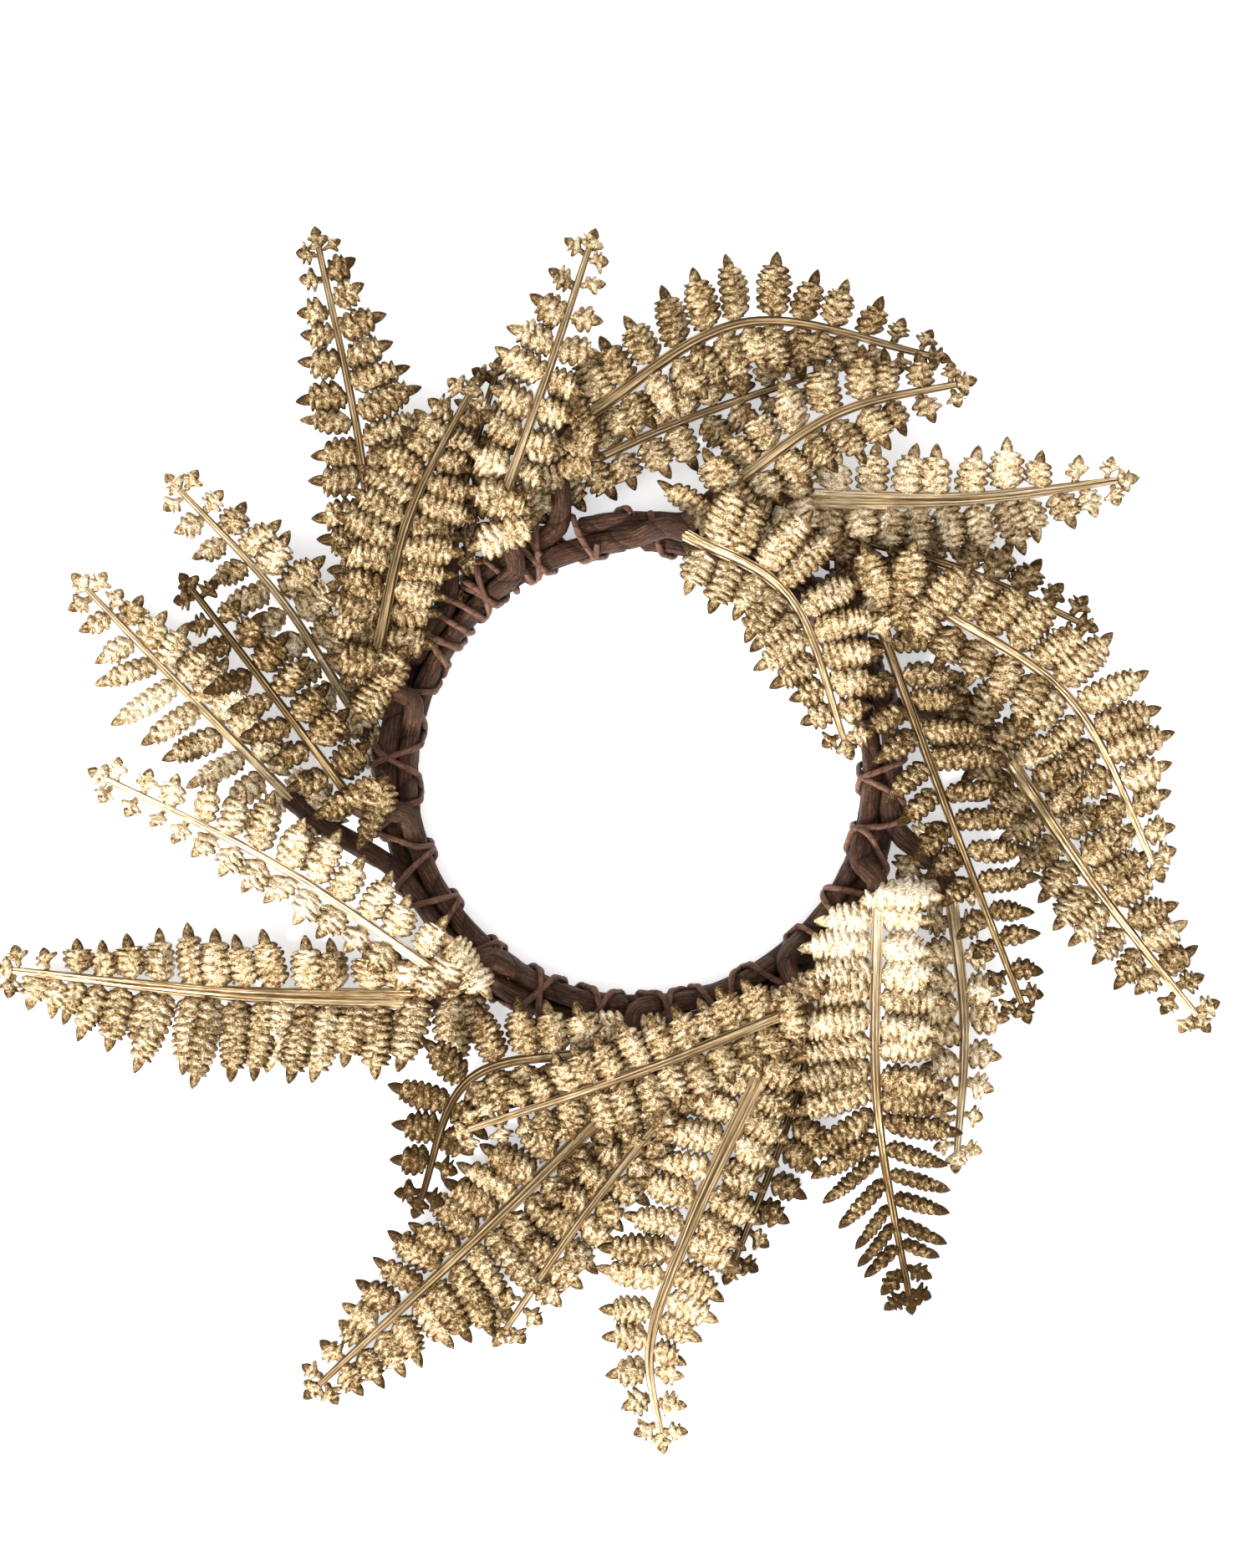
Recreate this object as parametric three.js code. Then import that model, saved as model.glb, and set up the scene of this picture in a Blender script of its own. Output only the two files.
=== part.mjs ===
// Fern candle ring: a paper-wrapped wire hoop, 26 moulded fern fronds on wrapped wire stems laid
// along it, and a thin wire that binds the stems to the hoop. It lies flat, with its axis along Z.
// Millimetres and degrees. A bearing is measured clockwise from +Y, seen from above.
import * as THREE from "three";

// Driving dimensions.
const STRAND_DIAMETER = 4.4; // a stem or hoop wire with its paper wrap
const BINDING_DIAMETER = 1.4;
const HOOP_WIRE_DIAMETER = 2.4;
const OPENING_DIAMETER = 104; // inside the binding wire
const GAP = 0.3; // between separate pieces

const STRAND_RADIUS = STRAND_DIAMETER / 2;
const STRAND_PITCH = STRAND_DIAMETER + 1.3 * GAP;
const BINDING_RADIUS = BINDING_DIAMETER / 2;
const BINDING_CORNER = STRAND_RADIUS + GAP + BINDING_RADIUS; // bend of the binding round a strand
const BINDING_HALF = STRAND_PITCH / 2 + BINDING_CORNER; // from the bundle's centre to the binding's
const BUNDLE_RADIUS = OPENING_DIAMETER / 2 + BINDING_RADIUS + BINDING_HALF;
const BUNDLE_HEIGHT = BINDING_HALF + BINDING_RADIUS;

// The four strands of the bundle, in steps of the pitch outward and upward from its centre.
const LANES = {
  hoop: [-0.5, -0.5],
  low: [0.5, -0.5],
  high: [0.5, 0.5],
  inner: [-0.5, 0.5],
};

// Hoop, wrap and binding.
const HOOP_GAP = 3; // degrees left open between the ends of the hoop
const HOOP_STEPS = 46;
const WRAP_SETBACK = 1; // degrees of bare wire at each end of the hoop
const TURN_ADVANCE = 2.2; // degrees along the ring in one turn of the binding
const TURN_SPACING = 8; // degrees between turns where no stem leaves
const TURN_MARGIN = 1.6; // degrees kept clear on both sides of a leaving stem
const RUN_STEP = 5; // degrees between sections of the binding between turns

// Stems.
const LONGEST_RUN = 38; // degrees a stem lies along the hoop
const STEM_SETBACK = 0.9; // from the end of a stem to its frond
const LANE_MARGIN = 4; // degrees from a stem that has left its lane to the next stem in it
const LANE_STEP = 8; // degrees between sections of a stem in its lane
const CLIMB = 6; // degrees over which an inner stem climbs above the bundle
const LEAVING_STEPS = 6;

// Fronds.
const PINNA_SPACING = 9.3;
const PINNA_WIDTH = 7.8;
const PINNA_SWEEP = 0.16; // lean of a pinna to the tip, as a share of its length
const PINNA_ROOT_SHARE = 0.52; // width of a pinna where it meets the rachis, as a share of its widest
const SHOULDER_SHARE = 0.42; // where along its length a pinna is widest
const FROND_THICKNESS = 1.1;
const RACHIS_WIDTH = { base: 4.6, tip: 1.8 };
const RACHIS_RIDGE = 0.9;
const BARE_BASE = 5; // rachis without pinnae next to the stem
const DROOP = 0.004; // fall of the pinnae, per mm of distance squared from the rachis

// Each frond: the bearing where its stem leaves the bundle, the lane it leaves from, how far its
// blade reaches to the left and to the right of the rachis (seen from above, facing its tip), and
// the path of the rachis as [bearing, distance from the axis, height].
const FRONDS = [
  { leaves: 8, lane: "high", reach: [15, 13], path: [[17, 71, 16], [29, 98, 19], [40, 122, 15]] },
  { leaves: 15, lane: "inner", reach: [14, 15], path: [[30, 76, 12], [50, 102, 13], [59, 137, 11]] },
  { leaves: 28, lane: "low", reach: [12, 12], path: [[40, 75, 7], [58, 92, 8], [72, 114, 6]] },
  { leaves: 45, lane: "high", reach: [14, 8], path: [[56, 68, 15], [94, 72, 17], [122, 109, 13]] },
  { leaves: 36, lane: "inner", reach: [18, 15], path: [[60, 80, 23], [80, 103, 24], [101, 126, 17]] },
  { leaves: 70, lane: "low", reach: [16, 15], path: [[85, 86, 9], [104, 113, 8], [114, 149, 5]] },
  { leaves: 98, lane: "high", reach: [10, 10], path: [[111, 80, 9], [128, 99, 8], [141, 121, 6]] },
  { leaves: 104, lane: "inner", reach: [14, 13], path: [[116, 63, 18], [144, 96, 18], [153, 144, 5]] },
  { leaves: 127, lane: "low", reach: [12, 12], path: [[141, 71, 6], [160, 97, 5], [170, 123, 4]] },
  { leaves: 134, lane: "inner", reach: [13, 13], path: [[147, 67, 21], [181, 71, 23], [207, 96, 19]] },
  {
    leaves: 142,
    lane: "high",
    reach: [15, 18],
    path: [[156, 75, 15], [174, 110, 14], [179, 138, 12], [178, 161, 10]],
  },
  { leaves: 160, lane: "low", reach: [11, 10], path: [[176, 82, 11], [187, 106, 11], [194, 140, 8]] },
  { leaves: 170, lane: "high", reach: [20, 16], path: [[184, 79, 7], [199, 117, 7], [208, 169, 4]] },
  { leaves: 173, lane: "inner", reach: [13, 16], path: [[184, 66, 17], [209, 83, 18], [207, 117, 14]] },
  { leaves: 210, lane: "low", reach: [21, 15], path: [[223, 74, 9], [242, 112, 10], [253, 161, 4]] },
  { leaves: 211, lane: "inner", reach: [10, 14], path: [[224, 67, 20], [256, 89, 20], [270, 130, 13]] },
  { leaves: 240, lane: "high", reach: [17, 13], path: [[266, 84, 9], [280, 110, 8], [289, 143, 5]] },
  { leaves: 252, lane: "inner", reach: [13, 13], path: [[265, 69, 17], [282, 89, 17], [293, 118, 13]] },
  { leaves: 269, lane: "low", reach: [14, 14], path: [[281, 69, 6], [296, 96, 8], [302, 133, 5]] },
  { leaves: 280, lane: "inner", reach: [16, 15], path: [[292, 68, 18], [318, 82, 18], [337, 101, 14]] },
  { leaves: 285, lane: "high", reach: [13, 17], path: [[298, 72, 12], [318, 99, 12], [329, 151, 6]] },
  { leaves: 308, lane: "high", reach: [11, 11], path: [[322, 73, 10], [332, 86, 9], [341, 104, 6]] },
  { leaves: 320, lane: "inner", reach: [13, 11], path: [[333, 72, 22], [347, 97, 23], [355, 128, 18]] },
  { leaves: 327, lane: "low", reach: [12, 12], path: [[340, 73, 5], [5, 84, 5], [26, 109, 5]] },
  { leaves: 338, lane: "high", reach: [16, 14], path: [[350, 85, 17], [13, 110, 17], [36, 123, 11]] },
  { leaves: 350, lane: "inner", reach: [12, 10], path: [[10, 58, 20], [39, 55, 22], [84, 50, 17]] },
];

const UP = new THREE.Vector3(0, 0, 1);

function polar(bearing, radius, height) {
  const angle = THREE.MathUtils.degToRad(bearing);
  return new THREE.Vector3(radius * Math.sin(angle), radius * Math.cos(angle), height);
}

// The centre of a lane's strand at a bearing.
function laneAt(lane, bearing) {
  const [outward, upward] = LANES[lane];
  const radius = BUNDLE_RADIUS + outward * STRAND_PITCH;
  return polar(bearing, radius, BUNDLE_HEIGHT + upward * STRAND_PITCH);
}

// A closed mesh from vertices and triangles that index them.
function closedGeometry(vertices, triangles) {
  const geometry = new THREE.BufferGeometry();
  const positions = vertices.flatMap((v) => [v.x, v.y, v.z]);
  geometry.setAttribute("position", new THREE.Float32BufferAttribute(positions, 3));
  geometry.setIndex(triangles);
  geometry.computeVertexNormals();
  return geometry;
}

// One polygonal section of a strand, with a flat side that faces along `normal`.
function section(point, tangent, normal, radius, sides) {
  const across = normal.clone().addScaledVector(tangent, -normal.dot(tangent)).normalize();
  const along = new THREE.Vector3().crossVectors(tangent, across);
  return Array.from({ length: sides }, (_, i) => {
    const angle = (2 * Math.PI * (i + 0.5)) / sides;
    return point
      .clone()
      .addScaledVector(across, radius * Math.cos(angle))
      .addScaledVector(along, radius * Math.sin(angle));
  });
}

function tangentAt(points, i) {
  const before = points[Math.max(i - 1, 0)];
  const after = points[Math.min(i + 1, points.length - 1)];
  return after.clone().sub(before).normalize();
}

// Side walls between rows of vertices that each go once round, `sides` to a row.
function walls(rows, sides, firstVertex, inward) {
  const triangles = [];
  for (let row = 0; row < rows - 1; row++) {
    for (let i = 0; i < sides; i++) {
      const a = firstVertex + row * sides + i;
      const b = firstVertex + row * sides + ((i + 1) % sides);
      const [c, d] = [a + sides, b + sides];
      triangles.push(...(inward ? [a, c, b, b, c, d] : [a, b, c, b, d, c]));
    }
  }
  return triangles;
}

// A solid strand along points; normals are the directions its flat side faces.
function strand(points, normals, radius, sides) {
  const rings = points.map((p, i) => section(p, tangentAt(points, i), normals[i], radius, sides));
  const triangles = walls(points.length, sides, 0, false);
  const last = (points.length - 1) * sides;
  for (let i = 1; i < sides - 1; i++) {
    triangles.push(0, i + 1, i, last, last + i, last + i + 1);
  }
  return closedGeometry(rings.flat(), triangles);
}

// A hollow strand, open at both ends.
function sleeve(points, outerRadius, innerRadius, sides) {
  const rings = (radius) =>
    points.flatMap((p, i) => section(p, tangentAt(points, i), UP, radius, sides));
  const inner = points.length * sides;
  const triangles = [
    ...walls(points.length, sides, 0, false),
    ...walls(points.length, sides, inner, true),
  ];
  const last = (points.length - 1) * sides;
  for (let i = 0; i < sides; i++) {
    const next = (i + 1) % sides;
    triangles.push(i, inner + i, next, next, inner + i, inner + next);
    triangles.push(last + i, last + next, inner + last + i);
    triangles.push(last + next, inner + last + next, inner + last + i);
  }
  return closedGeometry([...rings(outerRadius), ...rings(innerRadius)], triangles);
}

// Points of the hoop lane from one bearing to another.
function hoopPoints(from, to) {
  return Array.from({ length: HOOP_STEPS + 1 }, (_, i) =>
    laneAt("hoop", THREE.MathUtils.lerp(from, to, i / HOOP_STEPS)),
  );
}

function hoopWire() {
  const points = hoopPoints(HOOP_GAP / 2, 360 - HOOP_GAP / 2);
  return strand(points, points.map(() => UP), HOOP_WIRE_DIAMETER / 2, 6);
}

function hoopWrap() {
  const end = HOOP_GAP / 2 + WRAP_SETBACK;
  return sleeve(hoopPoints(end, 360 - end), STRAND_RADIUS, HOOP_WIRE_DIAMETER / 2 + GAP, 6);
}

function rachisCurve(frond) {
  return new THREE.CatmullRomCurve3(frond.path.map((p) => polar(...p)), false, "centripetal");
}

// Degrees clockwise from one bearing to another, from -180 to 180.
function bearingFrom(start, bearing) {
  return THREE.MathUtils.euclideanModulo(bearing - start + 180, 360) - 180;
}

const bearingOf = (point) => THREE.MathUtils.radToDeg(Math.atan2(point.x, point.y));

// The way a stem takes from its lane to its frond: up over the bundle first, if it lies on the
// inner side, and then out.
function leavingPoints(frond) {
  const points = [laneAt(frond.lane, frond.leaves)];
  let bearing = frond.leaves;
  if (frond.lane === "inner") {
    bearing += CLIMB;
    points.push(laneAt("inner", bearing).addScaledVector(UP, STRAND_PITCH));
  }
  const rachis = rachisCurve(frond);
  const heading = rachis.getTangent(0);
  const end = rachis.getPoint(0).addScaledVector(heading, -STEM_SETBACK);
  const from = points[points.length - 1];
  const reach = from.distanceTo(end) / 3;
  const leaving = new THREE.CubicBezierCurve3(
    from,
    from.clone().addScaledVector(polar(bearing + 90, 1, 0), reach),
    end.clone().addScaledVector(heading, -reach),
    end,
  );
  return [...points, ...leaving.getPoints(LEAVING_STEPS).slice(1)];
}

// Degrees that a leaving stem needs before another strand can lie in its lane.
function degreesToClearLane(frond) {
  const inLane = leavingPoints(frond).filter(
    (p) => p.distanceTo(laneAt(frond.lane, bearingOf(p))) < STRAND_PITCH,
  );
  const after = inLane.map((p) => bearingFrom(frond.leaves, bearingOf(p)));
  return Math.max(...after) + LANE_MARGIN;
}

// How far a stem lies along the hoop: a full run, or back to where the lane came free.
function boundDegrees(frond) {
  const free = FRONDS.filter((other) => other !== frond && other.lane === frond.lane).map(
    (other) =>
      THREE.MathUtils.euclideanModulo(frond.leaves - other.leaves, 360) -
      degreesToClearLane(other),
  );
  return Math.min(LONGEST_RUN, ...free);
}

// The centre line of a stem: along its lane, and out to its frond.
function stemPoints(frond) {
  const run = boundDegrees(frond);
  const steps = Math.ceil(run / LANE_STEP);
  const bound = Array.from({ length: steps }, (_, i) =>
    laneAt(frond.lane, frond.leaves - run * (1 - i / steps)),
  );
  return [...bound, ...leavingPoints(frond)];
}

function stem(frond) {
  const points = stemPoints(frond);
  return strand(points, points.map(() => UP), STRAND_RADIUS, 6);
}

// The bearings over which a stem crosses the surface that the binding lies on.
function leavingSpan(frond) {
  const reach = BINDING_HALF + BINDING_RADIUS + STRAND_RADIUS;
  const crossing = stemPoints(frond).filter((p) => {
    const outward = Math.hypot(p.x, p.y) - BUNDLE_RADIUS;
    const upward = p.z - BUNDLE_HEIGHT;
    const out = Math.max(Math.abs(outward), Math.abs(upward));
    return out > STRAND_PITCH / 2 + GAP / 3 && out < reach;
  });
  const after = crossing.map((p) => bearingFrom(frond.leaves, bearingOf(p)));
  return [frond.leaves, frond.leaves + Math.max(...after)];
}

// Bearings for the turns of the binding: evenly stepped, and moved past any leaving stem.
function turnBearings() {
  const spans = FRONDS.map(leavingSpan);
  const blocked = (bearing) =>
    spans.some(([from, to]) => {
      const into = THREE.MathUtils.euclideanModulo(bearing + TURN_ADVANCE + TURN_MARGIN - from, 360);
      return into < to - from + TURN_ADVANCE + 2 * TURN_MARGIN;
    });
  const bearings = [];
  for (let bearing = 2; bearing < 360 - TURN_ADVANCE; bearing += 0.5) {
    const last = bearings[bearings.length - 1] ?? -TURN_SPACING;
    if (bearing - last >= TURN_SPACING && !blocked(bearing)) bearings.push(bearing);
  }
  return bearings;
}

// The binding's centre line in one turn, from the inner side down, out, up and back in: each entry
// holds the offset outward and upward from the bundle's centre, and the direction it faces.
function turnProfile() {
  const profile = [];
  for (const corner of [225, 315, 45, 135]) {
    for (const step of [-45, 0, 45]) {
      const angle = THREE.MathUtils.degToRad(corner + step);
      const side = THREE.MathUtils.degToRad(corner);
      const offset = (component) =>
        Math.sign(component(side)) * STRAND_PITCH / 2 + BINDING_CORNER * component(angle);
      profile.push({ offset: [offset(Math.cos), offset(Math.sin)], facing: angle });
    }
  }
  return profile;
}

// One wire: it makes a turn at each bearing, and between turns it runs along the inner side.
function bindingWire() {
  const points = [];
  const normals = [];
  const put = (bearing, [outward, upward], facing) => {
    points.push(polar(bearing, BUNDLE_RADIUS + outward, BUNDLE_HEIGHT + upward));
    normals.push(polar(bearing, Math.cos(facing), Math.sin(facing)));
  };
  const profile = turnProfile();
  const bearings = turnBearings();
  bearings.forEach((start, turn) => {
    profile.forEach(({ offset, facing }, i) => {
      put(start + (TURN_ADVANCE * i) / (profile.length - 1), offset, facing);
    });
    const end = start + TURN_ADVANCE;
    const steps = Math.ceil((bearings[turn + 1] - end) / RUN_STEP);
    for (let i = 1; i < steps; i++) {
      const bearing = THREE.MathUtils.lerp(end, bearings[turn + 1], i / steps);
      put(bearing, [-BINDING_HALF, STRAND_PITCH * (0.5 - i / steps)], Math.PI);
    }
  });
  return strand(points, normals, BINDING_RADIUS, 6);
}

// Length of the pinnae at a share of the way along the rachis, as a share of the half width.
function bladeProfile(share) {
  const towardTip = Math.min(1, 0.3 + 1.6 * (1 - share));
  return towardTip * (0.78 + 0.22 * Math.min(1, share / 0.35));
}

// Vertices of a frond, one pinna pair at a time: two edges and a ridge on the rachis, and three
// points on each pinna. Top and bottom share one layout, so the walls follow its outline.
function frondGeometry(frond) {
  const curve = rachisCurve(frond);
  const length = curve.getLength();
  const pairs = Math.round((length - BARE_BASE) / PINNA_SPACING);
  const spacing = (length - BARE_BASE) / pairs;
  const width = PINNA_WIDTH * (spacing / PINNA_SPACING);

  // A point of the blade: distance along the rachis, to its right, and above the middle plane.
  const place = (along, right, above) => {
    const share = THREE.MathUtils.clamp(along / length, 0, 1);
    const tangent = curve.getTangentAt(share);
    const side = new THREE.Vector3().crossVectors(tangent, UP).normalize();
    const normal = new THREE.Vector3().crossVectors(side, tangent);
    return curve
      .getPointAt(share)
      .addScaledVector(tangent, along - share * length)
      .addScaledVector(side, right)
      .addScaledVector(normal, above - DROOP * right * right);
  };

  const vertices = [];
  const triangles = [];
  const put = (along, right, ridge = 0) => {
    vertices.push(place(along, right, FROND_THICKNESS / 2 + ridge));
    vertices.push(place(along, right, -FROND_THICKNESS / 2));
    return vertices.length - 2;
  };
  // One triangle seen from above, and its copy underneath.
  const plate = (a, b, c) => triangles.push(a, b, c, a + 1, c + 1, b + 1);
  // The wall under an edge that has the blade on its left.
  const wall = (a, b) => triangles.push(a, a + 1, b, b, a + 1, b + 1);

  const halfRachis = (along) =>
    THREE.MathUtils.lerp(RACHIS_WIDTH.base, RACHIS_WIDTH.tip, along / length) / 2;
  const across = (along) => [
    put(along, -halfRachis(along)),
    put(along, 0, RACHIS_RIDGE),
    put(along, halfRachis(along)),
  ];
  const join = ([left, middle, right], [nextLeft, nextMiddle, nextRight]) => {
    plate(left, middle, nextMiddle);
    plate(left, nextMiddle, nextLeft);
    plate(middle, right, nextRight);
    plate(middle, nextRight, nextMiddle);
  };

  const base = across(0);
  wall(base[0], base[1]);
  wall(base[1], base[2]);
  let row = base;
  for (let i = 0; i < pairs; i++) {
    const middle = BARE_BASE + (i + 0.35) * spacing;
    const rootHalf = (PINNA_ROOT_SHARE * width) / 2;
    const below = across(middle - rootHalf);
    const above = across(middle + rootHalf);
    join(row, below);
    wall(row[2], below[2]);
    wall(below[0], row[0]);
    join(below, above);
    for (const side of [-1, 1]) {
      const reach = frond.reach[side > 0 ? 1 : 0] * bladeProfile(middle / length);
      const [near, far] = side > 0 ? [below[2], above[2]] : [above[0], below[0]];
      const shoulder = middle + PINNA_SWEEP * reach * SHOULDER_SHARE;
      const out = side * (halfRachis(middle) + reach * SHOULDER_SHARE);
      const nearShoulder = put(shoulder - (side * width) / 2, out);
      const farShoulder = put(shoulder + (side * width) / 2, out);
      const tip = put(middle + PINNA_SWEEP * reach, side * reach);
      plate(near, nearShoulder, far);
      plate(far, nearShoulder, farShoulder);
      plate(nearShoulder, tip, farShoulder);
      wall(near, nearShoulder);
      wall(nearShoulder, tip);
      wall(tip, farShoulder);
      wall(farShoulder, far);
    }
    row = above;
  }
  const tip = put(length, 0);
  plate(row[0], row[1], tip);
  plate(row[1], row[2], tip);
  wall(row[2], tip);
  wall(tip, row[0]);
  return closedGeometry(vertices, triangles);
}

const paint = (color, metalness, roughness) =>
  new THREE.MeshStandardMaterial({ color, metalness, roughness });
const steel = paint(0x8d8f92, 0.9, 0.4);
const brownPaper = paint(0x5a3a30, 0, 0.7);
const brownBinding = paint(0x8a6258, 0, 0.6);
const goldPlastic = paint(0xb4945a, 0.7, 0.35);

function named(name, geometry, material) {
  const mesh = new THREE.Mesh(geometry, material);
  mesh.name = name;
  return mesh;
}

const ring = new THREE.Group();
ring.add(named("hoop_wire", hoopWire(), steel));
ring.add(named("hoop_wrap", hoopWrap(), brownPaper));
ring.add(named("binding_wire", bindingWire(), brownBinding));
FRONDS.forEach((frond, i) => {
  const number = String(i + 1).padStart(2, "0");
  ring.add(named(`stem_${number}`, stem(frond), brownPaper));
  ring.add(named(`frond_${number}`, frondGeometry(frond), goldPlastic));
});

// The origin is the middle of the bottom of the part's bounding box.
const box = new THREE.Box3().setFromObject(ring);
const middle = box.getCenter(new THREE.Vector3());
ring.position.set(-middle.x, -middle.y, -box.min.z);

export default ring;
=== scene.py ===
"""Looks of the fern candle ring: moulded gold fronds, paper-wrapped wire and a thin binding wire.

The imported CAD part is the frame. Each frond, each stem, the hoop's wrap and the binding get a
detailed piece in the place of their plain solid; the hoop's wire gets a material. Lengths are in
millimetres and angles in degrees, unless a comment says otherwise. A bearing is measured clockwise
from +Y, seen from above, and a share runs from 0 at the start of a thing to 1 at its end.
"""

import math
from typing import NamedTuple

import bpy
import numpy as np
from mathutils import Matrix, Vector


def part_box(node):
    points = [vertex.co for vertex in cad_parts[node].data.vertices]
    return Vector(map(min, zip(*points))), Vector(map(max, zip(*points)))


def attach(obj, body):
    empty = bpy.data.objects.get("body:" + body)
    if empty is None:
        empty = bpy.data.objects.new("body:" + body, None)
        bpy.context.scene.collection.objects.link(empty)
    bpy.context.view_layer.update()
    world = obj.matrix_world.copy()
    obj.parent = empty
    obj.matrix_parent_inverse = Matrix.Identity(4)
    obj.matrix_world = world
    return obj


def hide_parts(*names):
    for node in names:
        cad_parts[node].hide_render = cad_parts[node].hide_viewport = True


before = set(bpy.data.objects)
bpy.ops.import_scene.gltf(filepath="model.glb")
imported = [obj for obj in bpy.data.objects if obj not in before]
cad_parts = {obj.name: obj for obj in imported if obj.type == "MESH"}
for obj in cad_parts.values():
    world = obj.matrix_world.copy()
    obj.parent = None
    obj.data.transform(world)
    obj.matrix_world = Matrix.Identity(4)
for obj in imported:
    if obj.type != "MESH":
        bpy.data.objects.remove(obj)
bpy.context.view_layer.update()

MM = 0.001
UP = np.array([0.0, 0.0, 1.0])
RANDOM = np.random.default_rng(20)

# ---------------------------------------------------------------- driving dimensions, as in the CAD
STRAND_DIAMETER = 4.4
BINDING_DIAMETER = 1.4
OPENING_DIAMETER = 104.0
GAP = 0.3
STRAND_RADIUS = STRAND_DIAMETER / 2
STRAND_PITCH = STRAND_DIAMETER + 1.3 * GAP
BINDING_RADIUS = BINDING_DIAMETER / 2
BINDING_CORNER = STRAND_RADIUS + GAP + BINDING_RADIUS
BINDING_HALF = STRAND_PITCH / 2 + BINDING_CORNER
BUNDLE_RADIUS = OPENING_DIAMETER / 2 + BINDING_RADIUS + BINDING_HALF
BUNDLE_HEIGHT = BINDING_HALF + BINDING_RADIUS
LANES = {  # columns outward and rows upward from the bundle's centre
    "hoop": (-0.5, -0.5),
    "low": (0.5, -0.5),
    "high": (0.5, 0.5),
    "inner": (-0.5, 0.5),
}
HOOP_END = 2.5  # the hoop's ends stand on both sides of bearing 0
LONGEST_RUN = 38
LANE_MARGIN = 4
CLIMB = 6  # the degrees in which an inner stem rises over the bundle
STEM_SETBACK = 0.9  # from the end of a stem's centre line to its rachis


class Frond(NamedTuple):
    """A frond and its stem. Left and right are as seen from above, looking to the frond's tip."""

    leaves: float  # bearing where its stem leaves the bundle
    lane: str  # where its stem lies in the bundle
    reach: tuple  # of the blade, to the left and to the right of the rachis
    lit_paleness: tuple  # painted light and shade: how pale the paint is made at the base and at the tip, as the frond lies lit or shaded
    density: tuple  # of the pinnae, on the left and on the right
    rachis_width: float
    route: list  # of the rachis, as (bearing, distance from the axis, height)


# The fourth column is painted light and shade: it makes each frond paler or darker at its base and
# tip as it lies to the light.
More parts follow.
